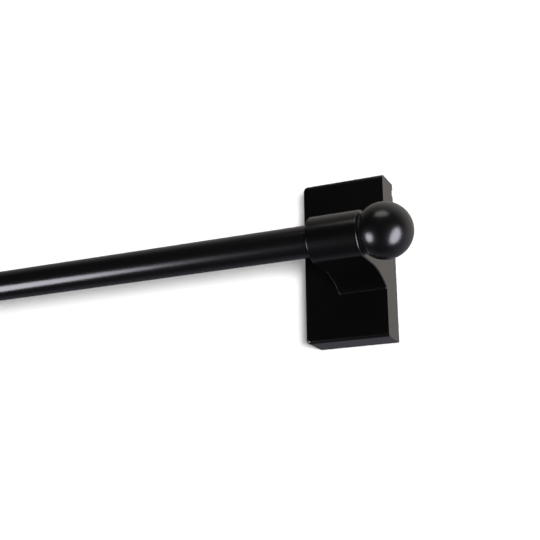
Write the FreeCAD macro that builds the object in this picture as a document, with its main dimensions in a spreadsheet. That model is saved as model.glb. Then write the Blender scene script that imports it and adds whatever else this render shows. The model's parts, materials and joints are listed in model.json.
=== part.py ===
"""Telescoping curtain rod with two swivelling magnetic wall brackets and two screw-on ball finials.

The origin is the centre of the right bracket's back face. +X points right along the rod, +Y into
the wall, +Z up. Every piece is drawn in its own bracket's frame. The left bracket is the same
moulding turned half a turn about Y, so both arms sit flush with the outer ends of the rod.
"""
import FreeCAD, Part
import math
import os
import re

import Sketcher

SIZES = {
    # whole rod
    "overall_length": 508.0,
    "rod_offset": 52.0,
    # bracket moulding
    "plate_width": 44.0,
    "plate_height": 85.0,
    "plate_depth": 18.0,
    "plate_corner": 1.4,
    "plate_edge": 1.7,
    "plate_turn": 2.6,
    "side_wall": 2.2,
    "front_wall": 2.5,
    "collar_wall": 3.5,
    "collar_length": 25.5,
    "collar_web": 4.0,
    "arm_straight": 12.0,
    "arm_curve": 39.0,
    "arm_root": 1.5,
    "root_bite": 0.1,
    "arm_edge": 0.7,
    "core_wall": 3.5,
    "core_end_wall": 5.0,
    "boss_radius": 3.2,
    "boss_inset": 3.6,
    "rest_rib": 1.6,
    "rest_inset": 4.0,
    "notch_depth": 1.2,
    "notch_height": 3.2,
    "notch_inset": 5.0,
    # magnet stack, from the wall outwards
    "pad_thickness": 1.0,
    "pad_inset": 0.6,
    "cover_thickness": 2.0,
    "magnet_thickness": 8.0,
    "magnet_side_gap": 2.8,
    "magnet_end_gap": 1.5,
    "yoke_thickness": 1.5,
    # cover screws
    "screw_radius": 1.2,
    "screw_head_radius": 2.7,
    "screw_length": 9.0,
    "cover_hole_gap": 0.4,
    "countersink_gap": 0.1,
    # tubes and what is fixed in them
    "tube_diameter": 16.0,
    "tube_wall": 0.7,
    "tube_gap": 0.95,
    "tube_length": 373.4,
    "bush_length": 23.0,
    "bush_flange": 1.5,
    "glide_length": 20.0,
    "sleeve_proud": 1.5,
    "plug_length": 18.0,
    # finials
    "ball_radius": 13.75,
    "ball_beyond": 10.4,
    "ball_rim": 0.4,
    "washer_thickness": 1.2,
    "washer_inset": 1.0,
    "stud_diameter": 6.0,
    "stud_in_ball": 10.0,
    "stud_in_plug": 8.0,
    "insert_wall": 1.5,
    "web_gap": 0.3,
    # clearances
    "running_gap": 0.08,
    "press_gap": 0.02,
    "cover_gap": 0.2,
}

SIDES = ("right", "left")
EDGE_TEST = 0.01
OUTER_FACE = "(plate_width / 2)"
COLLAR_FACE = "(plate_width / 2 - collar_length)"
TUBE_END = "(plate_width / 2 - collar_web - running_gap)"
TUBE_MOUTH = f"({TUBE_END} - tube_length)"
TUBE_RADIUS = "(tube_diameter / 2)"
TUBE_BORE = "(tube_diameter / 2 - tube_wall)"
INNER_RADIUS = f"({TUBE_BORE} - tube_gap)"
INNER_BORE = f"({INNER_RADIUS} - tube_wall)"
COLLAR_RADIUS = f"({TUBE_RADIUS} + collar_wall)"
BALL_FACE = "(plate_width / 2 + washer_thickness)"
BALL_CENTRE = "(plate_width / 2 + ball_beyond)"
BALL_FACE_RADIUS = "sqrt(ball_radius ^ 2 - (ball_beyond - washer_thickness) ^ 2)"
WASHER_RADIUS = f"({BALL_FACE_RADIUS} - washer_inset)"
STUD_RADIUS = "(stud_diameter / 2)"
STUD_BORE = f"({STUD_RADIUS} + running_gap)"
INSERT_RADIUS = f"({STUD_RADIUS} + insert_wall)"
WEB_HOLE = f"({STUD_RADIUS} + web_gap)"
INNER_WIDTH = "(plate_width - 2 * side_wall)"
INNER_HEIGHT = "(plate_height - 2 * side_wall)"
INNER_FRONT = "(plate_depth - front_wall)"
COVER_FRONT = "(pad_thickness + cover_thickness)"
YOKE_FRONT = f"({COVER_FRONT} + magnet_thickness + yoke_thickness)"
ARM_BEND = "(rod_offset - arm_straight)"
FLARE_CENTRE = f"({COLLAR_RADIUS} + arm_curve)"
ROOT_REACH = f"({ARM_BEND} - plate_depth - arm_root + root_bite)"
ROOT_DROP = f"sqrt((arm_curve - arm_root) ^ 2 - {ROOT_REACH} ^ 2)"
ROOT_HEIGHT = f"({FLARE_CENTRE} - {ROOT_DROP})"
ROOT_SHARE = "(arm_curve / (arm_curve - arm_root))"
FLARE_END = f"({ARM_BEND} - {ROOT_SHARE} * {ROOT_REACH})"
FLARE_HEIGHT = f"({FLARE_CENTRE} - {ROOT_SHARE} * {ROOT_DROP})"
BOSS_ACROSS = f"({INNER_WIDTH} / 2 - boss_inset)"
BOSS_UP = f"({INNER_HEIGHT} / 2 - boss_inset)"
CORE_WIDTH = "(collar_length - 2 * core_wall)"
CORE_HEIGHT = f"(2 * ({COLLAR_RADIUS} - core_wall))"
CORE_END = f"(rod_offset - {COLLAR_RADIUS} - core_end_wall)"
MAGNET_WIDTH = f"({INNER_WIDTH} - 2 * magnet_side_gap)"
MAGNET_LOW = f"({CORE_HEIGHT} / 2)"
MAGNET_HIGH = f"({BOSS_UP} - boss_radius - magnet_end_gap)"
COVER_HOLE = "(screw_radius + cover_hole_gap)"
COUNTERSINK = f"(screw_head_radius + countersink_gap - {COVER_HOLE})"

doc = FreeCAD.newDocument("CurtainRod")
nodes = {}


def make_sheet():
    sheet = doc.addObject("Spreadsheet::Sheet", "Sizes")
    for row, (name, value) in enumerate(SIZES.items(), start=1):
        sheet.set(f"A{row}", name)
        sheet.set(f"B{row}", str(value))
        sheet.setAlias(f"B{row}", name)
    doc.recompute()
    return sheet


def bound(expression):
    """The same expression with each size read from the sheet."""
    return re.sub(r"[a-z_]+", lambda word: f"Sizes.{word[0]}" if word[0] in SIZES else word[0], expression)


def bind(thing, path, expression):
    thing.setExpression(path, bound(expression))


def value_of(thing, expression):
    return float(thing.evalExpression(bound(expression)))


# ---------------------------------------------------------------- placing and naming


def place(thing, side, on_rod=False):
    """Put a piece drawn in its bracket's frame where that bracket stands."""
    if on_rod:
        bind(thing, "Placement.Base.y", "-rod_offset")
    if side == "left":
        thing.Placement.Rotation = FreeCAD.Rotation(FreeCAD.Vector(0, 1, 0), 180)
        bind(thing, "Placement.Base.x", "plate_width - overall_length")


def keep(name, thing, side, on_rod=False):
    thing.Label = name
    place(thing, side, on_rod)
    nodes[name] = thing
    return thing


def new_body(name):
    return doc.addObject("PartDesign::Body", f"{name}_body")


# ---------------------------------------------------------------- sketches


def new_sketch(body, name, plane, offset="0"):
    sketch = body.newObject("Sketcher::SketchObject", name)
    support = next(item for item in body.Origin.OriginFeatures if item.Role == plane)
    sketch.AttachmentSupport = [(support, "")]
    sketch.MapMode = "FlatFace"
    bind(sketch, "AttachmentOffset.Base.z", offset)
    return sketch


def pin(sketch, geometry, point, across, up):
    """Tie one point of a sketch to its place."""
    for kind, expression in (("DistanceX", across), ("DistanceY", up)):
        start = value_of(sketch, expression)
        rule = sketch.addConstraint(Sketcher.Constraint(kind, -1, 1, geometry, point, start))
        bind(sketch, f"Constraints[{rule}]", expression)


def draw_outline(sketch, corners, arcs=None):
    """Draw a closed outline. arcs gives a segment's radius and the side its centre lies on."""
    arcs = arcs or {}
    points = [FreeCAD.Vector(value_of(sketch, across), value_of(sketch, up), 0) for across, up in corners]
    count = len(points)
    for index, start in enumerate(points):
        finish = points[(index + 1) % count]
        if index in arcs:
            radius, side = arcs[index]
            sketch.addGeometry(arc_between(start, finish, value_of(sketch, radius), side))
        else:
            sketch.addGeometry(Part.LineSegment(start, finish))
    for index in range(count):
        before = (index - 1) % count
        leaving = start_point(arcs, index)
        arriving = finish_point(arcs, before)
        sketch.addConstraint(Sketcher.Constraint("Coincident", before, arriving, index, leaving))
        pin(sketch, index, leaving, *corners[index])
    for index, (radius, side) in arcs.items():
        rule = sketch.addConstraint(Sketcher.Constraint("Radius", index, value_of(sketch, radius)))
        bind(sketch, f"Constraints[{rule}]", radius)


def start_point(arcs, index):
    """An arc runs anticlockwise, so one drawn clockwise starts at its second end."""
    return 2 if index in arcs and arcs[index][1] == "right" else 1


def finish_point(arcs, index):
    return 1 if index in arcs and arcs[index][1] == "right" else 2


def arc_between(start, finish, radius, side):
    """The shorter arc from start to finish, with its centre to the left or right of the way."""
    way = finish - start
    middle = (start + finish) / 2
    left = FreeCAD.Vector(-way.y, way.x, 0).normalize()
    rise = math.sqrt(max(radius ** 2 - (way.Length / 2) ** 2, 0.0))
    centre = middle + left * (rise if side == "left" else -rise)
    first, last = (start, finish) if side == "left" else (finish, start)
    begin = math.atan2(first.y - centre.y, first.x - centre.x)
    end = math.atan2(last.y - centre.y, last.x - centre.x)
    return Part.ArcOfCircle(Part.Circle(centre, FreeCAD.Vector(0, 0, 1), radius), begin, end)


def draw_circle(sketch, across, up, radius):
    centre = FreeCAD.Vector(value_of(sketch, across), value_of(sketch, up), 0)
    circle = Part.Circle(centre, FreeCAD.Vector(0, 0, 1), value_of(sketch, radius))
    geometry = sketch.addGeometry(circle)
    pin(sketch, geometry, 3, across, up)
    rule = sketch.addConstraint(Sketcher.Constraint("Radius", geometry, value_of(sketch, radius)))
    bind(sketch, f"Constraints[{rule}]", radius)


def draw_rectangle(sketch, width, height, across="0", up="0"):
    left, right = f"{across} - ({width}) / 2", f"{across} + ({width}) / 2"
    low, high = f"{up} - ({height}) / 2", f"{up} + ({height}) / 2"
    first = sketch.GeometryCount
    corners = [(left, low), (right, low), (right, high), (left, high)]
    points = [FreeCAD.Vector(value_of(sketch, a), value_of(sketch, b), 0) for a, b in corners]
    for index in range(4):
        sketch.addGeometry(Part.LineSegment(points[index], points[(index + 1) % 4]))
    for index in range(4):
        before = first + (index - 1) % 4
        sketch.addConstraint(Sketcher.Constraint("Coincident", before, 2, first + index, 1))
        pin(sketch, first + index, 1, *corners[index])


def at_four_corners(across, up):
    return [(f"{x} * {across}", f"{z} * {up}") for x in ("1", "-1") for z in ("1", "-1")]


# ---------------------------------------------------------------- features


def add_feature(body, kind, name, sketch, length, reverse=False):
    """Pad or pocket a sketch, and stop if it changes nothing."""
    before = body.Shape.Volume if body.Tip else 0.0
    feature = body.newObject(f"PartDesign::{kind}", name)
    feature.Profile = sketch
    feature.Reversed = reverse
    bind(feature, "Length", length)
    doc.recompute()
    change = feature.Shape.Volume - before
    if (change > 0) != (kind == "Pad") or abs(change) < 1e-6:
        raise RuntimeError(f"{name} changed the volume by {change}")
    return feature


def edges_where(feature, test):
    shape = feature.Shape
    return [f"Edge{number}" for number, edge in enumerate(shape.Edges, start=1) if test(edge)]


def dress(body, kind, name, test, size):
    """Fillet or chamfer the edges of the body's last feature that pass a test."""
    base = body.Tip
    edges = edges_where(base, test)
    if not edges:
        raise RuntimeError(f"{name} found no edges")
    feature = body.newObject(f"PartDesign::{kind}", name)
    feature.Base = (base, edges)
    bind(feature, "Radius" if kind == "Fillet" else "Size", size)
    doc.recompute()
    return feature


def points_on(edge):
    """The two ends of an edge and its middle."""
    first, last = edge.FirstParameter, edge.LastParameter
    return [edge.valueAt(first), edge.valueAt((first + last) / 2), edge.valueAt(last)]


def spans(edge, axis):
    """True for a straight edge along one axis."""
    begin, _, end = points_on(edge)
    return near(abs(getattr(end - begin, axis)), edge.Length)


def lies_at(edge, axis, place):
    return all(near(getattr(point, axis), place) for point in points_on(edge))


def is_ring(edge, radius):
    return near(edge.Length, 2 * math.pi * radius)


def near(first, second):
    return abs(first - second) < 1e-4


def turned(name, outline, arcs=None):
    """A piece turned about the rod's axis from an outline of places along it and radii."""
    body = new_body(name)
    sketch = new_sketch(body, f"{name}_outline", "XY_Plane")
    draw_outline(sketch, outline, arcs)
    feature = body.newObject("PartDesign::Revolution", f"{name}_turned")
    feature.Profile = sketch
    feature.ReferenceAxis = (sketch, ["H_Axis"])
    feature.Angle = 360
    doc.recompute()
    return body


def ring(name, begin, end, outside, bore):
    return turned(name, [(begin, bore), (end, bore), (end, outside), (begin, outside)])


# ---------------------------------------------------------------- bracket


def bracket_shell(side):
    """The moulded bracket: hollow plate, curved arm and the collar that carries the rod."""
    name = f"{side}_bracket_shell"
    body = new_body(name)
    draw_arm(body, name)
    sketch = new_sketch(body, f"{name}_plate", "XZ_Plane", "pad_thickness")
    draw_rectangle(sketch, "plate_width", "plate_height")
    add_feature(body, "Pad", f"{name}_plate_pad", sketch, "plate_depth - pad_thickness")
    round_plate(body, name)
    hollow_shell(body, name)
    return keep(name, body, side)


def draw_arm(body, name):
    """The arm hugs the collar, runs straight, flares on a wide curve and meets the plate on a small one."""
    profile = new_sketch(body, f"{name}_arm", "YZ_Plane", COLLAR_FACE)
    inside = "-(plate_depth - front_wall / 2)"
    root = "-(plate_depth - root_bite)"
    upper = [
        (inside, ROOT_HEIGHT),
        (root, ROOT_HEIGHT),
        (f"-{FLARE_END}", FLARE_HEIGHT),
        (f"-{ARM_BEND}", COLLAR_RADIUS),
        ("-rod_offset", COLLAR_RADIUS),
    ]
    lower = [(across, f"-{up}") for across, up in reversed(upper)]
    corners = upper + [(f"-(rod_offset + {COLLAR_RADIUS})", "0")] + lower
    foot = ("arm_root", "right")
    flare = ("arm_curve", "right")
    cap = (COLLAR_RADIUS, "left")
    draw_outline(profile, corners, {1: foot, 2: flare, 4: cap, 5: cap, 7: flare, 8: foot})
    add_feature(body, "Pad", f"{name}_arm_pad", profile, "collar_length")
    front = value_of(profile, root)

    def arm_edge(edge):
        return not spans(edge, "x") and points_on(edge)[1].y < front - EDGE_TEST

    dress(body, "Fillet", f"{name}_arm_edges", arm_edge, "arm_edge")


def round_plate(body, name):
    """Soften the plate's front edges and its inner side. The outer side stays flat and crisp."""
    front = value_of(body, "-plate_depth")
    inner = value_of(body, "-plate_width / 2")
    top = value_of(body, "plate_height / 2")

    def plate_turn(edge):
        return spans(edge, "y") and lies_at(edge, "x", inner)

    def plate_edge(edge):
        if spans(edge, "x"):
            return lies_at(edge, "y", front) and near(abs(points_on(edge)[0].z), top)
        return lies_at(edge, "x", inner) and lies_at(edge, "y", front)

    dress(body, "Fillet", f"{name}_plate_turns", plate_turn, "plate_turn")
    dress(body, "Fillet", f"{name}_plate_edges", plate_edge, "plate_edge")


def hollow_shell(body, name):
    """The bores along the rod, then the room for the magnet stack behind the front wall."""
    bore = new_sketch(body, f"{name}_bore", "YZ_Plane", COLLAR_FACE)
    draw_circle(bore, "-rod_offset", "0", f"{TUBE_RADIUS} + running_gap")
    add_feature(body, "Pocket", f"{name}_tube_bore", bore, "collar_length - collar_web", reverse=True)
    hole = new_sketch(body, f"{name}_web", "YZ_Plane", COLLAR_FACE)
    draw_circle(hole, "-rod_offset", "0", WEB_HOLE)
    add_feature(body, "Pocket", f"{name}_web_hole", hole, "collar_length + 1", reverse=True)
    room = new_sketch(body, f"{name}_room", "XZ_Plane")
    draw_rectangle(room, INNER_WIDTH, INNER_HEIGHT)
    add_feature(body, "Pocket", f"{name}_magnet_room", room, INNER_FRONT, reverse=True)
    bosses = new_sketch(body, f"{name}_bosses", "XZ_Plane", COVER_FRONT)
    for across, up in at_four_corners(BOSS_ACROSS, BOSS_UP):
        draw_circle(bosses, across, up, "boss_radius")
    add_feature(body, "Pad", f"{name}_boss_pad", bosses, f"{INNER_FRONT} + front_wall / 2 - {COVER_FRONT}")
    rests = new_sketch(body, f"{name}_rests", "XZ_Plane", YOKE_FRONT)
    for place_up in (f"({MAGNET_LOW} + rest_inset)", f"({MAGNET_HIGH} - rest_inset)"):
        draw_rectangle(rests, MAGNET_WIDTH, "rest_rib", "0", place_up)
        draw_rectangle(rests, MAGNET_WIDTH, "rest_rib", "0", f"-{place_up}")
    add_feature(body, "Pad", f"{name}_rest_pad", rests, f"{INNER_FRONT} + front_wall / 2 - {YOKE_FRONT}")
    pilots = new_sketch(body, f"{name}_pilots", "XZ_Plane")
    for across, up in at_four_corners(BOSS_ACROSS, BOSS_UP):
        draw_circle(pilots, across, up, "screw_radius + press_gap")
    add_feature(body, "Pocket", f"{name}_pilot_holes", pilots, "pad_thickness + screw_length + 1", reverse=True)
    core = new_sketch(body, f"{name}_core", "XZ_Plane")
    draw_rectangle(core, CORE_WIDTH, CORE_HEIGHT, "(plate_width - collar_length) / 2")
    add_feature(body, "Pocket", f"{name}_arm_core", core, CORE_END, reverse=True)
    notch = new_sketch(body, f"{name}_notch", "XZ_Plane")
    draw_rectangle(notch, "2 * side_wall", "notch_height", "plate_width / 2", "plate_height / 2 - notch_inset")
    add_feature(body, "Pocket", f"{name}_pry_notch", notch, "pad_thickness + notch_depth", reverse=True)


def plate_piece(name, width, height, back, thickness):
    """A flat piece parallel to the wall."""
    body = new_body(name)
    sketch = new_sketch(body, f"{name}_outline", "XZ_Plane", back)
    draw_rectangle(sketch, width, height)
    add_feature(body, "Pad", f"{name}_pad", sketch, thickness)
    return body


def back_cover(side):
    """The cover closes the magnet room, flush with the rim, under four countersunk screws."""
    name = f"{side}_back_cover"
    width, height = f"{INNER_WIDTH} - 2 * cover_gap", f"{INNER_HEIGHT} - 2 * cover_gap"
    body = plate_piece(name, width, height, "pad_thickness", "cover_thickness")
    dress(body, "Fillet", f"{name}_corners", lambda edge: spans(edge, "y"), "plate_corner")
    holes = new_sketch(body, f"{name}_holes", "XZ_Plane")
    for across, up in at_four_corners(BOSS_ACROSS, BOSS_UP):
        draw_circle(holes, across, up, COVER_HOLE)
    add_feature(body, "Pocket", f"{name}_screw_holes", holes, f"{COVER_FRONT} + 1", reverse=True)
    back = value_of(holes, "-pad_thickness")
    hole = value_of(holes, COVER_HOLE)

    def back_rim(edge):
        return is_ring(edge, hole) and lies_at(edge, "y", back)

    dress(body, "Chamfer", f"{name}_countersinks", back_rim, COUNTERSINK)
    return keep(name, body, side)


def back_pad(side):
    """The thin soft pad between the bracket and the surface it holds on to."""
    name = f"{side}_back_pad"
    width, height = "plate_width - 2 * pad_inset", "plate_height - 2 * pad_inset"
    body = plate_piece(name, width, height, "0", "pad_thickness")
    dress(body, "Fillet", f"{name}_corners", lambda edge: spans(edge, "y"), "plate_corner")
    return keep(name, body, side)


def yoke_plate(side):
    """The steel plate in front of the magnets that closes their field."""
    name = f"{side}_yoke_plate"
    width = f"{INNER_WIDTH} - 2 * cover_gap"
    back = f"{COVER_FRONT} + magnet_thickness"
    body = plate_piece(name, width, f"2 * {MAGNET_HIGH}", back, "yoke_thickness")
    return keep(name, body, side)


def group(name, pieces, side):
    """Like pieces kept together as separate solids of one node."""
    compound = doc.addObject("Part::Compound", f"{name}_group")
    compound.Links = pieces
    doc.recompute()
    return keep(name, compound, side)


def magnets(side):
    name = f"{side}_magnets"
    blocks = []
    for number, low in enumerate((MAGNET_LOW, f"-{MAGNET_HIGH}"), start=1):
        block = doc.addObject("Part::Box", f"{name}_{number}")
        bind(block, "Length", MAGNET_WIDTH)
        bind(block, "Width", "magnet_thickness")
        bind(block, "Height", f"{MAGNET_HIGH} - {MAGNET_LOW}")
        bind(block, "Placement.Base.x", f"-{MAGNET_WIDTH} / 2")
        bind(block, "Placement.Base.y", f"-({COVER_FRONT} + magnet_thickness)")
        bind(block, "Placement.Base.z", low)
        blocks.append(block)
    return group(name, blocks, side)


def cover_screws(side):
    """Countersunk self-tapping screws, each turned about its own axis along Y."""
    name = f"{side}_cover_screws"
    screws = []
    for number, (across, up) in enumerate(at_four_corners(BOSS_ACROSS, BOSS_UP), start=1):
        screw = new_body(f"{name}_{number}")
        sketch = new_sketch(screw, f"{name}_{number}_outline", "XY_Plane")
        head = "-pad_thickness - press_gap"
        neck = f"{head} - (screw_head_radius - screw_radius)"
        tip = "-pad_thickness - screw_length"
        corners = [
            ("0", head),
            ("0", tip),
            ("screw_radius / 3", tip),
            ("screw_radius", f"{tip} + screw_radius"),
            ("screw_radius", neck),
            ("screw_head_radius", head),
        ]
        draw_outline(sketch, corners)
        feature = screw.newObject("PartDesign::Revolution", f"{name}_{number}_turned")
        feature.Profile = sketch
        feature.ReferenceAxis = (sketch, ["V_Axis"])
        feature.Angle = 360
        bind(screw, "Placement.Base.x", across)
        bind(screw, "Placement.Base.z", up)
        screws.append(screw)
    return group(name, screws, side)


# ---------------------------------------------------------------- tubes


def outer_tube():
    tube = ring("outer_tube", TUBE_MOUTH, TUBE_END, TUBE_RADIUS, TUBE_BORE)
    return keep("outer_tube", tube, "right", on_rod=True)


def inner_tube():
    tube = ring("inner_tube", TUBE_MOUTH, TUBE_END, INNER_RADIUS, INNER_BORE)
    return keep("inner_tube", tube, "left", on_rod=True)


def tube_mouth_bush():
    """A nylon bush pressed into the open end of the outer tube, flanged against its edge."""
    bore = f"{INNER_RADIUS} + running_gap"
    spigot = f"{TUBE_BORE} - press_gap"
    corners = [
        (f"{TUBE_MOUTH} - bush_flange", bore),
        (f"{TUBE_MOUTH} + bush_length", bore),
        (f"{TUBE_MOUTH} + bush_length", spigot),
        (TUBE_MOUTH, spigot),
        (TUBE_MOUTH, TUBE_RADIUS),
        (f"{TUBE_MOUTH} - bush_flange", TUBE_RADIUS),
    ]
    return keep("tube_mouth_bush", turned("tube_mouth_bush", corners), "right", on_rod=True)


def inner_tube_glide():
    """A nylon sleeve fixed on the hidden end of the inner tube. It meets the bush at full reach."""
    bore = f"{INNER_RADIUS} + press_gap"
    outside = f"{TUBE_BORE} - running_gap"
    glide = ring("inner_tube_glide", TUBE_MOUTH, f"{TUBE_MOUTH} + glide_length", outside, bore)
    return keep("inner_tube_glide", glide, "left", on_rod=True)


def collar_sleeve():
    """A sleeve that makes the inner tube up to the collar's bore."""
    bore = f"{INNER_RADIUS} + press_gap"
    sleeve = ring("collar_sleeve", f"{COLLAR_FACE} - sleeve_proud", TUBE_END, TUBE_RADIUS, bore)
    return keep("collar_sleeve", sleeve, "left", on_rod=True)


def end_plug(name, side, tube_bore):
    """A threaded plug fixed in a tube's end. The finial's stud screws into it."""
    plug = ring(name, f"{TUBE_END} - plug_length", TUBE_END, f"{tube_bore} - press_gap", STUD_BORE)
    return keep(name, plug, side, on_rod=True)


# ---------------------------------------------------------------- finials


def finial_ball(side):
    """A ball cut flat where it meets its washer, with a blind hole for its insert."""
    name = f"{side}_finial_ball"
    pocket = f"{INSERT_RADIUS} + press_gap"
    hole_end = f"{BALL_FACE} + stud_in_ball + press_gap"
    corners = [
        (hole_end, "0"),
        (hole_end, pocket),
        (BALL_FACE, pocket),
        (BALL_FACE, BALL_FACE_RADIUS),
        (BALL_CENTRE, "ball_radius"),
        (f"{BALL_CENTRE} + ball_radius", "0"),
    ]
    arc = ("ball_radius", "right")
    body = turned(name, corners, {3: arc, 4: arc})
    face = value_of(body, BALL_FACE)
    rim = value_of(body, BALL_FACE_RADIUS)

    def face_rim(edge):
        return is_ring(edge, rim) and lies_at(edge, "x", face)

    dress(body, "Fillet", f"{name}_rim", face_rim, "ball_rim")
    return keep(name, body, side, on_rod=True)


def finial_insert(side):
    name = f"{side}_finial_insert"
    end = f"{BALL_FACE} + stud_in_ball"
    return keep(name, ring(name, BALL_FACE, end, INSERT_RADIUS, f"{STUD_RADIUS} + press_gap"), side, True)


def finial_stud(side):
    """The threaded stud, fixed in the ball's insert, that reaches through the collar's web."""
    name = f"{side}_finial_stud"
    tip = f"{TUBE_END} - stud_in_plug"
    corners = [
        (tip, "0"),
        (f"{BALL_FACE} + stud_in_ball", "0"),
        (f"{BALL_FACE} + stud_in_ball", STUD_RADIUS),
        (f"{tip} + stud_diameter / 8", STUD_RADIUS),
        (tip, "stud_diameter * 3 / 8"),
    ]
    return keep(name, turned(name, corners), side, on_rod=True)


def finial_washer(side):
    name = f"{side}_finial_washer"
    return keep(name, ring(name, OUTER_FACE, BALL_FACE, WASHER_RADIUS, WEB_HOLE), side, True)


# ---------------------------------------------------------------- the whole rod


def check_objects():
    for item in doc.Objects:
        if "Invalid" in item.State or "Error" in item.State:
            raise RuntimeError(f"{item.Label} is in state {item.State}")
    for name, item in nodes.items():
        if item.Shape.isNull() or not item.Shape.isValid():
            raise RuntimeError(f"{name} has no valid shape")


def export_nodes():
    os.makedirs("parts", exist_ok=True)
    for name, item in nodes.items():
        item.Shape.exportStep(f"parts/{name}.step")
        print(f"{name}: {len(item.Shape.Solids)} solids, {item.Shape.Volume:.1f} mm3")


def main():
    make_sheet()
    for side in SIDES:
        bracket_shell(side)
        back_cover(side)
        back_pad(side)
        yoke_plate(side)
        magnets(side)
        cover_screws(side)
        finial_ball(side)
        finial_insert(side)
        finial_stud(side)
        finial_washer(side)
    outer_tube()
    inner_tube()
    tube_mouth_bush()
    inner_tube_glide()
    collar_sleeve()
    end_plug("outer_tube_plug", "right", TUBE_BORE)
    end_plug("inner_tube_plug", "left", INNER_BORE)
    doc.recompute()
    check_objects()
    export_nodes()


main()
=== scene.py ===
"""Looks for a telescoping curtain rod with magnetic wall brackets and ball finials.

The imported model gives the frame: metres, +X right along the rod, +Y into the wall, +Z up. This script
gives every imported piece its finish, and models the turned and threaded pieces finely.
"""

import json
import math

import bmesh
import bpy
from bpy.props import FloatProperty, FloatVectorProperty, IntProperty, PointerProperty
from mathutils import Matrix, Vector


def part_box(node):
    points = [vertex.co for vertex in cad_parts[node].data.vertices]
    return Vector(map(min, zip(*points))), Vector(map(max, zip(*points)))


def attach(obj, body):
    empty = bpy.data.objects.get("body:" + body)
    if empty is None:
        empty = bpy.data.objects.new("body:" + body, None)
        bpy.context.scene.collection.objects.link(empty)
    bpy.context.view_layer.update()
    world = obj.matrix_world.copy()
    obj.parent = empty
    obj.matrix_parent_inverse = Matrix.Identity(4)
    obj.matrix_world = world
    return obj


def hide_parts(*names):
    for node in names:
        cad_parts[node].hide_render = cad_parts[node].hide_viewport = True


bl_info = {
    "name": "Curtain rod with brackets",
    "version": (1, 0, 0),
    "blender": (4, 5, 0),
    "location": "3D View > Sidebar > Curtain rod",
    "description": "Builds the finishes and the fine turned pieces of a curtain rod",
    "category": "Object",
}

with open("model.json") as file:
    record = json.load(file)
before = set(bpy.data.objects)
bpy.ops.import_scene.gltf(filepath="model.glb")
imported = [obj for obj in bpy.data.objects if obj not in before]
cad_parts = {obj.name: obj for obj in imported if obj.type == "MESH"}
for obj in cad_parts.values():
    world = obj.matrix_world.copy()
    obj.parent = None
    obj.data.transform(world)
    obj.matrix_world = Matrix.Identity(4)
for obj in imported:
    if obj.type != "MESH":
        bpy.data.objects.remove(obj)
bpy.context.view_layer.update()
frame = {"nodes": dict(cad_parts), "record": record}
NODES = frame["nodes"]
BODIES = frame["record"]["behaviour"]["bodies"]
BODY_OF = {node: body for body, nodes in BODIES.items() for node in nodes}
MM = 0.001
SIDES = ("right", "left")

# turned pieces
SHARP_EDGE = math.radians(38)
WELD = 1e-7
ON_AXIS = 1e-9
CORNER_STEPS = 4
LONGEST_FACE = 8 * MM
CLOSE_FIT = 0.02 * MM
SLIDING_FIT = 0.08 * MM
BALL_STEPS = 96
BALL_FOOT_RIM = 0.4 * MM
WASHER_BORE = 3.3 * MM

# finial studs
THREAD_AROUND = 48
THREAD_STEPS_PER_TURN = 14

# back pads
PAD_CORNER = 1.4 * MM
PAD_RIM = 0.15 * MM
GRIP_MARGIN = 3 * MM
GRIP_RADIUS = 0.9 * MM
GRIP_RISE = 0.3 * MM

# studio: each light's direction as the camera sees it, distance, size, power, colour, and whether it
# shows in reflections (True) or only lights matt surfaces (False)
WHITE = (1.0, 1.0, 1.0)
WARM_WHITE = (1.0, 0.98, 0.95)
LILAC = (0.92, 0.90, 1.0)
LIGHTS = {
    "left_softbox": ((-0.88, -0.40, 0.24), 1.1, (0.6, 0.54), 9.3, LILAC, True),
    "right_softbox": ((0.58, -0.36, 0.72), 1.1, (0.74, 1.25), 27.5, LILAC, True),
    "top_softbox": ((-0.20, 0.88, 0.33), 1.1, (0.84, 0.46), 2.7, WARM_WHITE, True),
    "key": ((0.08, 0.08, 1.0), 3.0, (0.75, 0.60), 106.0, WHITE, False),
    "overhead": ((0.25, 1.0, 0.35), 2.5, (1.9, 1.6), 32.0, WHITE, False),
}
STAGE_REACH = 3.0
FLOOR_DROP = 0.45
BACKDROP_GAP = 0.4 * MM
BACKDROP_GLOW = 0.2
FLOOR_GLOW = 0.5
ROOM_WARM = (1.0, 0.94, 0.89, 1.0)
ROOM_COOL = (0.86, 0.82, 1.0, 1.0)
ROOM_FRONT = 0.008


def across(node, axis):
    """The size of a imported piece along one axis."""
    low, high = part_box(node)
    return high[axis] - low[axis]


ROD_Y = sum(corner[1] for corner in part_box("outer_tube")) / 2
PLATE_WIDTH = across("right_bracket_shell", 0)


# ---------------------------------------------------------------- settings


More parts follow.
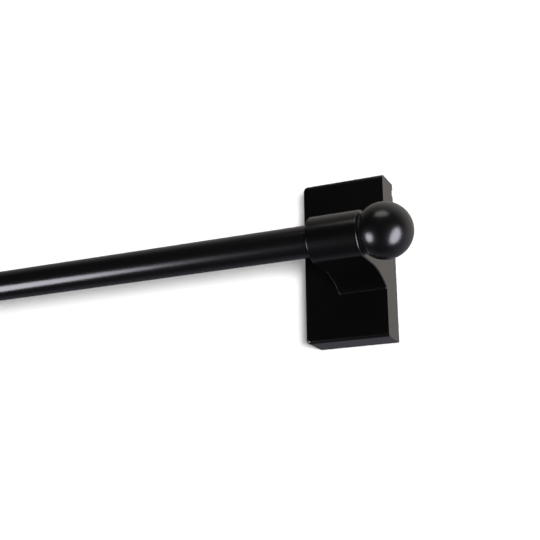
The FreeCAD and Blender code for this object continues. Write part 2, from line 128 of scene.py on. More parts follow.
class RodSizes(bpy.types.PropertyGroup):
    """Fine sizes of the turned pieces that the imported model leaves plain."""

    tube_radius: FloatProperty(
        name="Tube radius", description="Outside radius of the larger tube", default=8 * MM,
        unit="LENGTH", precision=5)
    inner_radius: FloatProperty(
        name="Inner tube radius", description="Outside radius of the smaller tube", default=6.35 * MM,
        unit="LENGTH", precision=5)
    tube_wall: FloatProperty(
        name="Tube wall", description="Thickness of both tubes", default=0.7 * MM,
        unit="LENGTH", precision=5)
    ball_radius: FloatProperty(
        name="Ball radius", description="Radius of each finial", default=13.75 * MM,
        unit="LENGTH", precision=5)
    edge_softness: FloatProperty(
        name="Edge softness", description="Radius left on turned edges", default=0.25 * MM,
        unit="LENGTH", precision=5)
    thread_pitch: FloatProperty(
        name="Thread pitch", description="Advance of the finial studs per turn", default=1 * MM,
        unit="LENGTH", precision=5)
    thread_depth: FloatProperty(
        name="Thread depth", description="Height of the studs' thread", default=0.55 * MM,
        unit="LENGTH", precision=5)
    turned_segments: IntProperty(
        name="Segments", description="Faces round each turned piece", default=160, min=24, max=256)
    grip_spacing: FloatProperty(
        name="Grip spacing", description="Distance between the dots on the back pads", default=3.5 * MM,
        unit="LENGTH", precision=5)


class RodColours(bpy.types.PropertyGroup):
    """Base colours of the finishes."""

    moulding: FloatVectorProperty(
        name="Bracket moulding", description="Colour of the moulded brackets", subtype="COLOR",
        size=3, min=0, max=1, default=(0.0016, 0.0015, 0.0015))
    enamel: FloatVectorProperty(
        name="Tube enamel", description="Colour of the baked enamel on the tubes", subtype="COLOR",
        size=3, min=0, max=1, default=(0.0030, 0.0030, 0.0034))
    lacquer: FloatVectorProperty(
        name="Ball lacquer", description="Colour of the lacquered finials", subtype="COLOR",
        size=3, min=0, max=1, default=(0.0026, 0.0026, 0.0030))
    nylon: FloatVectorProperty(
        name="Nylon", description="Colour of the bushes and washers", subtype="COLOR",
        size=3, min=0, max=1, default=(0.006, 0.006, 0.006))
    rubber: FloatVectorProperty(
        name="Pad rubber", description="Colour of the pads on the brackets' backs", subtype="COLOR",
        size=3, min=0, max=1, default=(0.035, 0.035, 0.036))


class StageSettings(bpy.types.PropertyGroup):
    """The camera and the studio round the rod."""

    lens: FloatProperty(
        name="Lens", description="Focal length of the camera", default=66.57,
        subtype="DISTANCE_CAMERA")
    azimuth: FloatProperty(
        name="Azimuth", description="How far right of square-on the camera stands",
        default=math.radians(23.87), subtype="ANGLE")
    elevation: FloatProperty(
        name="Elevation", description="How far above level the camera stands",
        default=math.radians(-16.38), subtype="ANGLE")
    roll: FloatProperty(
        name="Roll", description="Turn of the camera about its own axis",
        default=math.radians(-0.585), subtype="ANGLE")
    distance: FloatProperty(
        name="Distance", description="From the camera to the point it looks at",
        default=522.6 * MM, unit="LENGTH")
    aim_left: FloatProperty(
        name="Aim", description="How far left of the bracket's centre the camera looks",
        default=40.56 * MM, unit="LENGTH")
    aim_front: FloatProperty(
        name="Aim depth", description="How far in front of the wall the camera looks",
        default=20 * MM, unit="LENGTH")
    aim_low: FloatProperty(
        name="Aim height", description="How far below the rod the camera looks",
        default=1.37 * MM, unit="LENGTH")


# ---------------------------------------------------------------- node trees


class Socket:
    """A number inside a node tree. Arithmetic on it adds Math nodes."""

    def __init__(self, tree, output):
        self.tree = tree
        self.output = output

    def math(self, operation, *others):
        node = self.tree.nodes.new("ShaderNodeMath")
        node.operation = operation
        for place, value in enumerate((self, *others)):
            feed(self.tree, node.inputs[place], value)
        return Socket(self.tree, node.outputs[0])

    def at_least(self, floor):
        return self.math("MAXIMUM", floor)

    def at_most(self, ceiling):
        return self.math("MINIMUM", ceiling)

    def __add__(self, other):
        return self.math("ADD", other)

    def __mul__(self, other):
        return self.math("MULTIPLY", other)

    def __sub__(self, other):
        return self.math("SUBTRACT", other)

    def __rsub__(self, other):
        return (self * -1.0) + other

    def __truediv__(self, other):
        return self.math("DIVIDE", other)

    __radd__ = __add__
    __rmul__ = __mul__


def feed(tree, target, value):
    """Give an input a link, a number or a colour."""
    if isinstance(value, Socket):
        tree.links.new(value.output, target)
    elif isinstance(value, bpy.types.NodeSocket):
        tree.links.new(value, target)
    else:
        target.default_value = value


def add_node(tree, kind, settings=None, **inputs):
    """Any other node: its settings first, then the values or links of its inputs."""
    node = tree.nodes.new(kind)
    for name, value in (settings or {}).items():
        setattr(node, name, value)
    for name, value in inputs.items():
        feed(tree, node.inputs[name.replace("_", " ")], value)
    return node


def blend(tree, factor, first, second):
    """The colour between two others, as a socket."""
    node = add_node(tree, "ShaderNodeMix", {"data_type": "RGBA"})
    for place, value in ((0, factor), (6, first), (7, second)):
        feed(tree, node.inputs[place], value)
    return node.outputs[2]


def mix_shaders(tree, factor, first, second, end):
    """Mix two shaders and put the result on an output node."""
    node = add_node(tree, "ShaderNodeMixShader")
    for place, value in enumerate((factor, first, second)):
        feed(tree, node.inputs[place], value)
    tree.links.new(node.outputs[0], tree.nodes[end].inputs["Surface"])


class Finish:
    """A material with one Principled shader and the object's own coordinates."""

    def __init__(self, name, **constants):
        self.material = bpy.data.materials.new(name)
        self.material.use_nodes = True
        self.tree = self.material.node_tree
        self.shader = self.tree.nodes["Principled BSDF"]
        self.place = self.add("ShaderNodeTexCoord").outputs["Object"]
        for key, value in constants.items():
            self.shader.inputs[key.replace("_", " ")].default_value = value

    def add(self, kind, settings=None, **inputs):
        return add_node(self.tree, kind, settings, **inputs)

    def stretched(self, scale):
        return self.add("ShaderNodeMapping", Vector=self.place, Scale=scale).outputs[0]

    def noise(self, scale, detail=2.0, vector=None):
        node = self.add("ShaderNodeTexNoise", Vector=vector or self.place, Scale=scale, Detail=detail)
        return Socket(self.tree, node.outputs[0])

    def mix(self, factor, first, second):
        return blend(self.tree, factor, (*first, 1.0), (*second, 1.0))

    def set(self, **links):
        for key, value in links.items():
            feed(self.tree, self.shader.inputs[key.replace("_", " ")], value)
        return self

    def bump(self, height, distance, strength=1.0):
        node = self.add("ShaderNodeBump", Height=height, Distance=distance, Strength=strength)
        return self.set(Normal=node.outputs[0])


def shade(colour, factor):
    """A lighter or darker version of a colour."""
    return tuple(channel * factor for channel in colour)


# ---------------------------------------------------------------- finishes


def moulded_black(colour):
    """Semi-gloss moulded plastic with a trace of texture from the tool and handling haze."""
    finish = Finish("moulded_black", IOR=1.5)
    haze = finish.noise(38.0, 3.0)
    grain = finish.noise(2600.0, 2.0)
    finish.set(Base_Color=finish.mix(haze, shade(colour, 0.8), shade(colour, 1.25)))
    finish.set(Roughness=haze * 0.05 + grain * 0.03 + 0.2)
    return finish.bump(grain * 0.35 + finish.noise(420.0) * 0.65, 0.000006, 0.3)


def satin_cover(colour):
    """The flat matt grain of a plain back cover."""
    finish = Finish("cover_matt_black", IOR=1.49)
    grain = finish.noise(1800.0, 4.0)
    finish.set(Base_Color=finish.mix(grain, shade(colour, 0.9), shade(colour, 1.6)))
    finish.set(Roughness=grain * 0.15 + 0.45)
    return finish.bump(grain, 0.00005, 0.6)


def baked_enamel(colour):
    """Semi-gloss enamel over drawn tube: long faint draw lines under a slight orange peel."""
    finish = Finish("baked_enamel", IOR=1.52)
    lines = finish.noise(900.0, 2.0, finish.stretched((0.02, 1.0, 1.0)))
    peel = finish.noise(700.0, 1.0)
    finish.set(Base_Color=finish.mix(lines, shade(colour, 0.85), shade(colour, 1.2)))
    finish.set(Roughness=peel * 0.02 + lines * 0.02 + 0.2)
    return finish.bump(peel * 0.6 + lines * 0.4, 0.000001, 0.2)


def ball_lacquer(colour):
    """Deep gloss lacquer with a barely rippled surface."""
    finish = Finish("ball_lacquer", IOR=1.5)
    ripple = finish.noise(160.0, 1.0)
    dust = finish.noise(5200.0, 1.0)
    finish.set(Base_Color=finish.mix(ripple, shade(colour, 0.9), shade(colour, 1.15)))
    finish.set(Roughness=ripple * 0.03 + dust * 0.02 + 0.225)
    return finish.bump(ripple, 0.00002, 0.2)


def turned_nylon(colour, name="black_nylon"):
    """Matt nylon with the rings that turning leaves."""
    finish = Finish(name, IOR=1.53)
    rings = finish.noise(1400.0, 1.0, finish.stretched((1.0, 0.05, 0.05)))
    finish.set(Base_Color=finish.mix(rings, shade(colour, 0.8), shade(colour, 1.5)))
    finish.set(Roughness=rings * 0.12 + 0.38)
    return finish.bump(rings, 0.00004, 0.5)


def pad_rubber(colour):
    """Fine closed-cell rubber with pores."""
    finish = Finish("pad_rubber", IOR=1.46)
    cells = finish.add("ShaderNodeTexVoronoi", Vector=finish.place, Scale=1700.0)
    pores = Socket(finish.tree, cells.outputs["Distance"])
    cloud = finish.noise(90.0, 3.0)
    finish.set(Base_Color=finish.mix(cloud, shade(colour, 0.8), shade(colour, 1.5)))
    finish.set(Roughness=cloud * 0.1 + pores * 0.1 + 0.68)
    return finish.bump(pores, 0.00006, 0.7)


def sintered_ferrite():
    """Dark grey ceramic magnet, ground on its faces."""
    finish = Finish("sintered_ferrite", IOR=2.3)
    grain = finish.noise(1500.0, 5.0)
    ground = finish.noise(700.0, 2.0, finish.stretched((0.06, 1.0, 1.0)))
    finish.set(Base_Color=finish.mix(grain, (0.03, 0.03, 0.032), (0.075, 0.073, 0.072)))
    finish.set(Roughness=ground * 0.2 + 0.38)
    return finish.bump(ground * 0.6 + grain * 0.4, 0.00004, 0.5)


def plated_steel(name, tint):
    """Bright zinc plate with a spangled haze and a faint rolling direction."""
    finish = Finish(name, Metallic=1.0)
    spangle = finish.noise(260.0, 4.0)
    rolled = finish.noise(1200.0, 2.0, finish.stretched((0.04, 1.0, 1.0)))
    finish.set(Base_Color=finish.mix(spangle, shade(tint, 0.8), tint))
    finish.set(Roughness=spangle * 0.15 + rolled * 0.1 + 0.2)
    return finish.bump(rolled, 0.00002, 0.4)


def turned_brass():
    """Plain brass with turning rings."""
    finish = Finish("turned_brass", Metallic=1.0)
    rings = finish.noise(2200.0, 1.0, finish.stretched((1.0, 0.04, 0.04)))
    finish.set(Base_Color=finish.mix(rings, (0.52, 0.36, 0.14), (0.72, 0.54, 0.25)))
    finish.set(Roughness=rings * 0.15 + 0.2)
    return finish.bump(rings, 0.00003, 0.5)


def cast_zinc():
    """The dull, slightly uneven skin of a die casting."""
    finish = Finish("cast_zinc", Metallic=1.0)
    skin = finish.noise(620.0, 5.0)
    finish.set(Base_Color=finish.mix(skin, (0.3, 0.3, 0.31), (0.5, 0.5, 0.51)))
    finish.set(Roughness=skin * 0.25 + 0.35)
    return finish.bump(skin, 0.00006, 0.5)


def make_finishes(colours):
    """One material for each slot of the record."""
    return {
        "bracket_plastic": moulded_black(colours.moulding).material,
        "cover_plastic": satin_cover(colours.nylon).material,
        "back_pad": pad_rubber(colours.rubber).material,
        "yoke_steel": plated_steel("yoke_zinc_plate", (0.62, 0.62, 0.64)).material,
        "ferrite": sintered_ferrite().material,
        "screw_steel": plated_steel("screw_zinc_plate", (0.58, 0.58, 0.6)).material,
        "tube_enamel": baked_enamel(colours.enamel).material,
        "ball_lacquer": ball_lacquer(colours.lacquer).material,
        "insert_brass": turned_brass().material,
        "stud_steel": plated_steel("stud_zinc_plate", (0.6, 0.6, 0.62)).material,
        "washer_nylon": turned_nylon(shade(colours.nylon, 0.7), "washer_nylon").material,
        "black_nylon": turned_nylon(colours.nylon).material,
        "plug_zinc": cast_zinc().material,
    }


def slot_of(node):
    """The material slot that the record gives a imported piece."""
    parts = frame["record"]["subparts"]
    return next(part["material_slot"] for part in parts if part["node"] == node)


def finish_for(node):
    """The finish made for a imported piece's slot."""
    return bpy.data.materials[bpy.context.scene["finish_" + slot_of(node)]]


# ---------------------------------------------------------------- turned pieces


def softened(outline, radius):
    """Round each corner of a closed outline of places along the rod and radii."""
    points = [Vector(point) for point in outline]
    rounded = []
    for index, corner in enumerate(points):
        before = points[index - 1] - corner
        after = points[(index + 1) % len(points)] - corner
        reach = min(radius, before.length * 0.45, after.length * 0.45)
        if corner.y <= ON_AXIS:
            rounded.append(corner)
            continue
        start = corner + before.normalized() * reach
        finish = corner + after.normalized() * reach
        for step in range(CORNER_STEPS + 1):
            share = step / CORNER_STEPS
            rest = 1 - share
            rounded.append(start * rest ** 2 + corner * 2 * share * rest + finish * share ** 2)
    return rounded


def divided(outline, longest):
    """Split the long straight runs of a closed outline, so that no face is a sliver."""
    points = []
    for index, begin in enumerate(outline):
        end = outline[(index + 1) % len(outline)]
        pieces = max(1, math.ceil((end - begin).length / longest))
        points += [begin.lerp(end, step / pieces) for step in range(pieces)]
    return points


def turn(name, outline, segments):
    """Turn a closed outline about the rod's axis. Points on the axis become poles."""
    vertices, rings = [], []
    for point in divided(outline, LONGEST_FACE):
        if point.y <= ON_AXIS:
            rings.append([len(vertices)])
            vertices.append((point.x, ROD_Y, 0.0))
            continue
        rings.append(list(range(len(vertices), len(vertices) + segments)))
        for step in range(segments):
            angle = math.tau * step / segments
            vertices.append((point.x, ROD_Y + point.y * math.cos(angle), point.y * math.sin(angle)))
    faces = []
    for index, ring in enumerate(rings):
        faces += band(ring, rings[(index + 1) % len(rings)], segments)
    mesh = bpy.data.meshes.new(name)
    mesh.from_pydata(vertices, [], faces)
    return finished(name, mesh)


def band(first, second, segments):
    """The faces between two neighbouring rings, either of which may be a pole."""
    if len(first) == 1 and len(second) == 1:
        return []
    faces = []
    for step in range(segments):
        following = (step + 1) % segments
        corners = [
            first[step % len(first)], first[following % len(first)],
            second[following % len(second)], second[step % len(second)],
        ]
        faces.append(list(dict.fromkeys(corners)))
    return faces


def finished(name, mesh):
    """Weld, face outwards and smooth a closed mesh, and make it an object."""
    shell = bmesh.new()
    shell.from_mesh(mesh)
    bmesh.ops.remove_doubles(shell, verts=shell.verts, dist=WELD)
    bmesh.ops.recalc_face_normals(shell, faces=shell.faces)
    shell.to_mesh(mesh)
    shell.free()
    mesh.polygons.foreach_set("use_smooth", [True] * len(mesh.polygons))
    mesh.set_sharp_from_angle(angle=SHARP_EDGE)
    piece = bpy.data.objects.new(name, mesh)
    bpy.context.scene.collection.objects.link(piece)
    return piece


def stand_for(piece, node):
    """The piece rides on its node's body, takes its finish and is shown in its place."""
    piece.data.materials.clear()
    piece.data.materials.append(finish_for(node))
    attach(piece, BODY_OF[node])
    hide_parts(node)


def turned_ring(node, outside, bore, sizes):
    """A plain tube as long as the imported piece, with softened rims."""
    low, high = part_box(node)
    square = [(low.x, bore), (high.x, bore), (high.x, outside), (low.x, outside)]
    outline = softened(square, sizes.edge_softness)
    stand_for(turn(f"fine_{node}", outline, sizes.turned_segments), node)


def flanged_bush(sizes):
    """The bush in the larger tube's mouth: a thin flange and a long spigot."""
    low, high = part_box("tube_mouth_bush")
    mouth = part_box("outer_tube")[0].x
    bore = sizes.inner_radius + SLIDING_FIT
    spigot = sizes.tube_radius - sizes.tube_wall - CLOSE_FIT
    outline = [
        (low.x, bore), (high.x, bore), (high.x, spigot), (mouth, spigot),
        (mouth, sizes.tube_radius), (low.x, sizes.tube_radius),
    ]
    soft = softened(outline, sizes.edge_softness * 2)
    stand_for(turn("fine_tube_mouth_bush", soft, sizes.turned_segments), "tube_mouth_bush")


def ball(side, sizes):
    """A finely turned ball with its flat foot and the blind hole for its insert."""
    node = f"{side}_finial_ball"
    low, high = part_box(node)
    outward = 1 if side == "right" else -1
    foot, tip = (low.x, high.x) if side == "right" else (high.x, low.x)
    foot += outward * CLOSE_FIT
    centre = tip - outward * sizes.ball_radius
    reach = abs(foot - centre)
    hole = across(f"{side}_finial_insert", 2) / 2 + CLOSE_FIT
    depth = foot + outward * (across(f"{side}_finial_insert", 0) + CLOSE_FIT)
    start = math.acos(-reach / sizes.ball_radius)
    rim = BALL_FOOT_RIM / sizes.ball_radius
    outline = [Vector((depth, 0.0)), Vector((depth, hole)), Vector((foot, hole))]
    outline.append(Vector((foot, sizes.ball_radius * math.sin(start) - BALL_FOOT_RIM)))
    for step in range(BALL_STEPS + 1):
        angle = (start - rim) * (1 - step / BALL_STEPS)
        outline.append(Vector((centre + outward * sizes.ball_radius * math.cos(angle),
                               sizes.ball_radius * math.sin(angle))))
    stand_for(turn(f"fine_{node}", outline, sizes.turned_segments), node)


# ---------------------------------------------------------------- geometry nodes


def geometry_tree(name, inputs):
    """An empty Geometry Nodes tree with named number inputs and a material input."""
    tree = bpy.data.node_groups.new(name, "GeometryNodeTree")
    for title, default in inputs.items():
        kind = "NodeSocketInt" if isinstance(default, int) else "NodeSocketFloat"
        tree.interface.new_socket(title, in_out="INPUT", socket_type=kind).default_value = default
    tree.interface.new_socket("Finish", in_out="INPUT", socket_type="NodeSocketMaterial")
    tree.interface.new_socket("Geometry", in_out="OUTPUT", socket_type="NodeSocketGeometry")
    start = tree.nodes.new("NodeGroupInput")
    numbers = {title: Socket(tree, start.outputs[title]) for title in inputs}
    return tree, numbers, start.outputs["Finish"]


def close_tree(tree, geometry, finish):
    """End a tree in real geometry that carries its finish."""
    real = add_node(tree, "GeometryNodeRealizeInstances", Geometry=geometry)
    dressed = add_node(tree, "GeometryNodeSetMaterial", Geometry=real.outputs[0], Material=finish)
    end = tree.nodes.new("NodeGroupOutput")
    tree.links.new(dressed.outputs[0], end.inputs[0])


def grown(name, tree, values):
    """Run a Geometry Nodes tree once and keep the plain mesh."""
    holder = bpy.data.objects.new(f"{name}_holder", bpy.data.meshes.new(name))
    bpy.context.scene.collection.objects.link(holder)
    modifier = holder.modifiers.new("grow", "NODES")
    modifier.node_group = tree
    for item in tree.interface.items_tree:
        if item.in_out == "INPUT":
            modifier[item.identifier] = values[item.name]
    view = bpy.context.evaluated_depsgraph_get()
    mesh = bpy.data.meshes.new_from_object(holder.evaluated_get(view))
    bpy.data.objects.remove(holder)
    return mesh


def thread_tree():
    """A closed threaded rod along X: a fine cylinder whose radius follows the thread's ridge."""
    sizes = {
        "Length": 20 * MM, "Radius": 3 * MM, "Pitch": 1 * MM, "Depth": 0.5 * MM,
        "Around": THREAD_AROUND, "Along": 20 * THREAD_STEPS_PER_TURN,
    }
    tree, value, finish = geometry_tree("metric_thread", sizes)
    core = add_node(tree, "GeometryNodeMeshCylinder", {"fill_type": "TRIANGLE_FAN"}, Radius=1.0,
                    Vertices=value["Around"], Side_Segments=value["Along"], Depth=value["Length"])
    place = add_node(tree, "GeometryNodeInputPosition")
    split = add_node(tree, "ShaderNodeSeparateXYZ", Vector=place.outputs[0])
    x, y, z = (Socket(tree, output) for output in split.outputs)
    turns = y.math("ARCTAN2", x) / math.tau
    wave = (z / value["Pitch"] - turns).math("FRACT")
    ridge = (wave - 0.5).math("ABSOLUTE") * 2.0
    crest = (ridge * 1.35 - 0.15).at_least(0.0).at_most(1.0)
    ends = (value["Length"] * 0.5 - z.math("ABSOLUTE")).at_least(0.0)
    taper = (ends / value["Pitch"]).at_most(1.0)
    radius = value["Radius"] - value["Depth"] * (1.0 - crest * taper)
    spot = add_node(tree, "ShaderNodeCombineXYZ", X=z, Y=x * radius, Z=y * radius)
    shaped = add_node(tree, "GeometryNodeSetPosition", Geometry=core.outputs["Mesh"],
                      Position=spot.outputs[0])
    close_tree(tree, shaped.outputs[0], finish)
    return tree


def grip_tree():
    """Low domes in even rows over a rectangle in XZ, facing +Y."""
    sizes = {
        "Width": 40 * MM, "Height": 80 * MM, "Columns": 10, "Rows": 20,
        "Dot Radius": GRIP_RADIUS, "Rise": GRIP_RISE,
    }
    tree, value, finish = geometry_tree("pad_grip", sizes)
    grid = add_node(tree, "GeometryNodeMeshGrid", Size_X=value["Width"], Size_Y=value["Height"],
                    Vertices_X=value["Columns"], Vertices_Y=value["Rows"])
    points = add_node(tree, "GeometryNodeMeshToPoints", Mesh=grid.outputs["Mesh"])
    dome = add_node(tree, "GeometryNodeMeshUVSphere", Segments=12, Rings=6, Radius=1.0)
    stretch = add_node(tree, "ShaderNodeCombineXYZ", X=value["Dot Radius"], Y=value["Dot Radius"],
                       Z=value["Rise"])
    dots = add_node(tree, "GeometryNodeInstanceOnPoints", Points=points.outputs[0],
                    Instance=dome.outputs["Mesh"], Scale=stretch.outputs[0])
    stood = add_node(tree, "GeometryNodeTransform", Geometry=dots.outputs[0],
                     Rotation=(math.radians(-90), 0, 0))
    close_tree(tree, stood.outputs[0], finish)
    return tree


def threaded_stud(side, sizes, tree):
    """The stud between ball and tube, with its thread."""
    node = f"{side}_finial_stud"
    low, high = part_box(node)
    length = high.x - low.x
    values = {
        "Length": length, "Radius": across(node, 2) / 2,
        "Pitch": sizes.thread_pitch, "Depth": sizes.thread_depth,
        "Around": THREAD_AROUND, "Along": int(length / sizes.thread_pitch * THREAD_STEPS_PER_TURN),
        "Finish": finish_for(node),
    }
    mesh = grown(f"threaded_{node}", tree, values)
    turned_round = Matrix.Rotation(math.pi, 4, "Z") if side == "left" else Matrix.Identity(4)
    mesh.transform(Matrix.Translation(((low.x + high.x) / 2, ROD_Y, 0.0)) @ turned_round)
    stand_for(finished(f"threaded_{node}", mesh), node)


def gripped_pad(side, sizes, tree):
    """A thin rubber sheet with rounded corners and rows of low grip dots on its back."""
    node = f"{side}_back_pad"
    low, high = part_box(node)
    sheet = bmesh.new()
    bmesh.ops.create_cube(sheet, size=1.0)
    size = (high.x - low.x, high.y - low.y - GRIP_RISE, high.z - low.z)
    centre = ((low.x + high.x) / 2, (low.y + high.y - GRIP_RISE) / 2, 0.0)
    bmesh.ops.transform(sheet, matrix=Matrix.LocRotScale(centre, None, size), verts=sheet.verts)
    corners = [edge for edge in sheet.edges if abs(edge.verts[0].co.y - edge.verts[1].co.y) > GRIP_RISE]
    bmesh.ops.bevel(sheet, geom=corners, offset=PAD_CORNER, segments=8, affect="EDGES", profile=0.5)
    rims = [edge for edge in sheet.edges if edge.calc_face_angle(0) > 1.0]
    bmesh.ops.bevel(sheet, geom=rims, offset=PAD_RIM, segments=3, affect="EDGES", profile=0.5)
    mesh = bpy.data.meshes.new(f"gripped_{node}")
    sheet.to_mesh(mesh)
    sheet.free()
    pad = finished(f"gripped_{node}", mesh)
    stand_for(pad, node)
    width, height = size[0] - 2 * GRIP_MARGIN, size[2] - 2 * GRIP_MARGIN
    values = {
        "Width": width, "Height": height,
        "Columns": round(width / sizes.grip_spacing) + 1, "Rows": round(height / sizes.grip_spacing) + 1,
        "Dot Radius": GRIP_RADIUS, "Rise": GRIP_RISE, "Finish": finish_for(node),
    }
    dots_mesh = grown(f"{side}_pad_grip_dots", tree, values)
    dots_mesh.transform(Matrix.Translation((centre[0], high.y - GRIP_RISE, 0.0)))
    dots = finished(f"{side}_pad_grip_dots", dots_mesh)
    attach(dots, BODY_OF[node])


# ---------------------------------------------------------------- stage


def look_from(settings):
    """The camera's place and turn for the main view."""
    azimuth, elevation = settings.azimuth, settings.elevation
    level = math.cos(elevation)
    back = Vector((math.sin(azimuth) * level, -math.cos(azimuth) * level, math.sin(elevation)))
    aim = Vector((-settings.aim_left, -settings.aim_front, -settings.aim_low))
    facing = (-back).to_track_quat("-Z", "Y").to_matrix().to_4x4()
    roll = Matrix.Rotation(settings.roll, 4, "Z")
    return Matrix.Translation(aim + back * settings.distance) @ facing @ roll


def make_camera(settings):
    data = bpy.data.cameras.new("camera")
    data.lens = settings.lens
    data.sensor_width = 36.0
    data.clip_start = 0.01
    camera = bpy.data.objects.new("camera", data)
    bpy.context.scene.collection.objects.link(camera)
    camera.matrix_world = look_from(settings)
    bpy.context.scene.camera = camera
    return camera


def softbox(name, camera, direction, distance, size, power, tint, glossy):
    """An oval area light that faces the right end of the rod from its direction in the camera's view."""
    data = bpy.data.lights.new(name, "AREA")
    data.shape = "ELLIPSE"
    data.size, data.size_y = size
    data.energy = power
    data.color = tint
    light = bpy.data.objects.new(name, data)
    bpy.context.scene.collection.objects.link(light)
    way = (camera.matrix_world.to_3x3() @ Vector(direction)).normalized()
    light.location = Vector((PLATE_WIDTH / 2, ROD_Y, 0.0)) + way * distance
    light.rotation_mode = "QUATERNION"
    light.rotation_quaternion = (-way).to_track_quat("-Z", "Y")
    light.visible_glossy = glossy
    light.visible_diffuse = not glossy


def plain_sheet(name, corners, material):
    """A flat four-cornered sheet that belongs to the stage."""
    mesh = bpy.data.meshes.new(name)
    mesh.from_pydata(corners, [], [(0, 1, 2, 3)])
    mesh.materials.append(material)
    sheet = bpy.data.objects.new(name, mesh)
    bpy.context.scene.collection.objects.link(sheet)


def seen_only(material, shader):
    """Clear a stage surface for all rays but the camera's, and from behind: it throws no glare."""
    tree = material.node_tree
    behind = Socket(tree, add_node(tree, "ShaderNodeNewGeometry").outputs["Backfacing"])
    seen = Socket(tree, add_node(tree, "ShaderNodeLightPath").outputs["Is Camera Ray"])
    clear = add_node(tree, "ShaderNodeBsdfTransparent").outputs[0]
    mix_shaders(tree, behind.at_least(1.0 - seen), shader.outputs[0], clear, "Material Output")
    return material


def paper(name, glow):
    """White paper, glowing a little so that shadows on it stay soft."""
    finish = Finish(name, Roughness=0.9, Specular_IOR_Level=0.0, Emission_Color=(*WHITE, 1.0),
                    Emission_Strength=glow)
    finish.set(Base_Color=finish.mix(finish.noise(4.0), (0.79, 0.79, 0.79), (0.81, 0.81, 0.81)))
    return seen_only(finish.material, finish.shader)


def studio_world():
    """A dark room in front of the rod, paler above, below and behind it, and white to the camera."""
    world = bpy.data.worlds.new("studio")
    world.use_nodes = True
    tree = world.node_tree
    room = tree.nodes["Background"]
    way = add_node(tree, "ShaderNodeTexCoord").outputs["Generated"]
    split = add_node(tree, "ShaderNodeSeparateXYZ", Vector=way)
    right, rear, up = (Socket(tree, output) for output in split.outputs)
    ceiling = (rear * 1.2 + up * 0.75).at_least(0.0)
    behind = ceiling.at_least(rear * 2.0 + up * 0.3).at_most(1.0)
    below = (up * -4.0).at_least(0.0).at_most(1.0)
    level = (0.32 + right * 0.45 + up * 0.35).at_least(0.08) + below * 0.1
    bounce = (up * -1.5 - 0.6).at_least(0.0) * 0.06
    feed(tree, room.inputs["Color"], blend(tree, below, ROOM_WARM, ROOM_COOL))
    feed(tree, room.inputs["Strength"], behind * level + bounce + ROOM_FRONT)
    pale = add_node(tree, "ShaderNodeBackground", Color=(*WHITE, 1.0), Strength=1.0)
    seen = add_node(tree, "ShaderNodeLightPath").outputs["Is Camera Ray"]
    mix_shaders(tree, seen, room.outputs[0], pale.outputs[0], "World Output")
    bpy.context.scene.world = world


def make_stage(settings):
    """The camera, the lights, the backdrop, the floor and the room round them."""
    bpy.context.scene.view_settings.view_transform = "Standard"
    camera = make_camera(settings)
    for name, facts in LIGHTS.items():
        softbox(name, camera, *facts)
    reach, drop = STAGE_REACH, -FLOOR_DROP
    wall = [(-reach, drop), (reach, drop), (reach, reach), (-reach, reach)]
    ground = [(-reach, -reach), (reach, -reach), (reach, reach), (-reach, reach)]
    plain_sheet("backdrop", [(x, BACKDROP_GAP, z) for x, z in wall], paper("backdrop_white", BACKDROP_GLOW))
    plain_sheet("floor", [(x, y, drop) for x, y in ground], paper("floor_pale", FLOOR_GLOW))
    studio_world()


# ---------------------------------------------------------------- operators


class ROD_OT_stage(bpy.types.Operator):
    """Set up the camera, the soft lights, the pale floor and the backdrop"""

    bl_idname = "curtain_rod.stage"
    bl_label = "Stage"

    def execute(self, context):
        make_stage(context.scene.rod_stage)
        return {"FINISHED"}


class ROD_OT_finishes(bpy.types.Operator):
    """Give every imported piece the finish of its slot"""

    bl_idname = "curtain_rod.finishes"
    bl_label = "Finishes"

    def execute(self, context):
        for slot, material in make_finishes(context.scene.rod_colours).items():
            context.scene["finish_" + slot] = material.name
        for node, piece in NODES.items():
            piece.data.materials.clear()
            piece.data.materials.append(finish_for(node))
        return {"FINISHED"}


class ROD_OT_tubes(bpy.types.Operator):
    """Turn the two tubes, the bush and the collar sleeve finely"""

    bl_idname = "curtain_rod.tubes"
    bl_label = "Tubes and bushes"

    def execute(self, context):
        sizes = context.scene.rod_sizes
        wall = sizes.tube_wall
        turned_ring("outer_tube", sizes.tube_radius, sizes.tube_radius - wall, sizes)
        turned_ring("inner_tube", sizes.inner_radius, sizes.inner_radius - wall, sizes)
        turned_ring("collar_sleeve", sizes.tube_radius, sizes.inner_radius + CLOSE_FIT, sizes)
        flanged_bush(sizes)
        return {"FINISHED"}


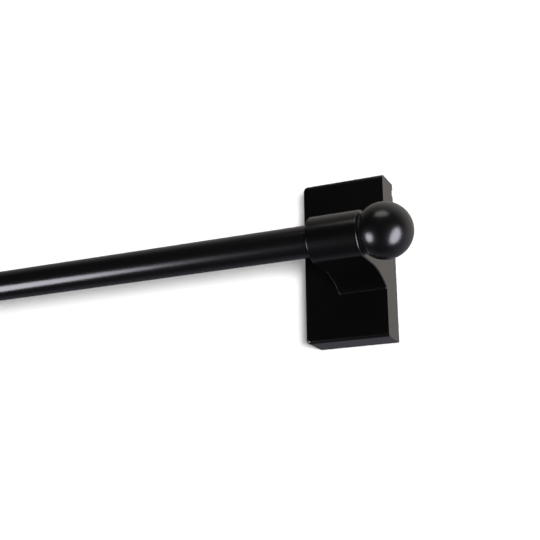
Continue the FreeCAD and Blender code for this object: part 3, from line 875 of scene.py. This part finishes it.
class ROD_OT_finials(bpy.types.Operator):
    """Turn the balls and washers and thread their studs"""

    bl_idname = "curtain_rod.finials"
    bl_label = "Finials"

    def execute(self, context):
        sizes = context.scene.rod_sizes
        tree = thread_tree()
        for side in SIDES:
            ball(side, sizes)
            threaded_stud(side, sizes, tree)
            washer = f"{side}_finial_washer"
            turned_ring(washer, across(washer, 2) / 2, WASHER_BORE, sizes)
        return {"FINISHED"}


class ROD_OT_pads(bpy.types.Operator):
    """Make the gripped rubber pads on the brackets' backs"""

    bl_idname = "curtain_rod.pads"
    bl_label = "Back pads"

    def execute(self, context):
        tree = grip_tree()
        for side in SIDES:
            gripped_pad(side, context.scene.rod_sizes, tree)
        return {"FINISHED"}


class ROD_PT_panel(bpy.types.Panel):
    """The steps that build the rod's looks, with their sizes and colours"""

    bl_label = "Curtain rod"
    bl_idname = "ROD_PT_panel"
    bl_space_type = "VIEW_3D"
    bl_region_type = "UI"
    bl_category = "Curtain rod"

    def draw(self, context):
        layout = self.layout
        for operator in OPERATORS:
            layout.operator(operator.bl_idname)
        for name in GROUPS:
            group = getattr(context.scene, name)
            box = layout.box()
            for prop in group.bl_rna.properties:
                if prop.identifier not in ("rna_type", "name"):
                    box.prop(group, prop.identifier)


OPERATORS = (ROD_OT_stage, ROD_OT_finishes, ROD_OT_tubes, ROD_OT_finials, ROD_OT_pads)
GROUPS = {"rod_sizes": RodSizes, "rod_colours": RodColours, "rod_stage": StageSettings}


def register():
    for name, group in GROUPS.items():
        bpy.utils.register_class(group)
        setattr(bpy.types.Scene, name, PointerProperty(type=group))
    for item in (*OPERATORS, ROD_PT_panel):
        bpy.utils.register_class(item)


def unregister():
    for item in (ROD_PT_panel, *reversed(OPERATORS)):
        bpy.utils.unregister_class(item)
    for name, group in GROUPS.items():
        delattr(bpy.types.Scene, name)
        bpy.utils.unregister_class(group)


def main():
    register()
    bpy.ops.curtain_rod.stage()
    bpy.ops.curtain_rod.finishes()
    bpy.ops.curtain_rod.tubes()
    bpy.ops.curtain_rod.finials()
    bpy.ops.curtain_rod.pads()


if __name__ == "__main__":
    main()
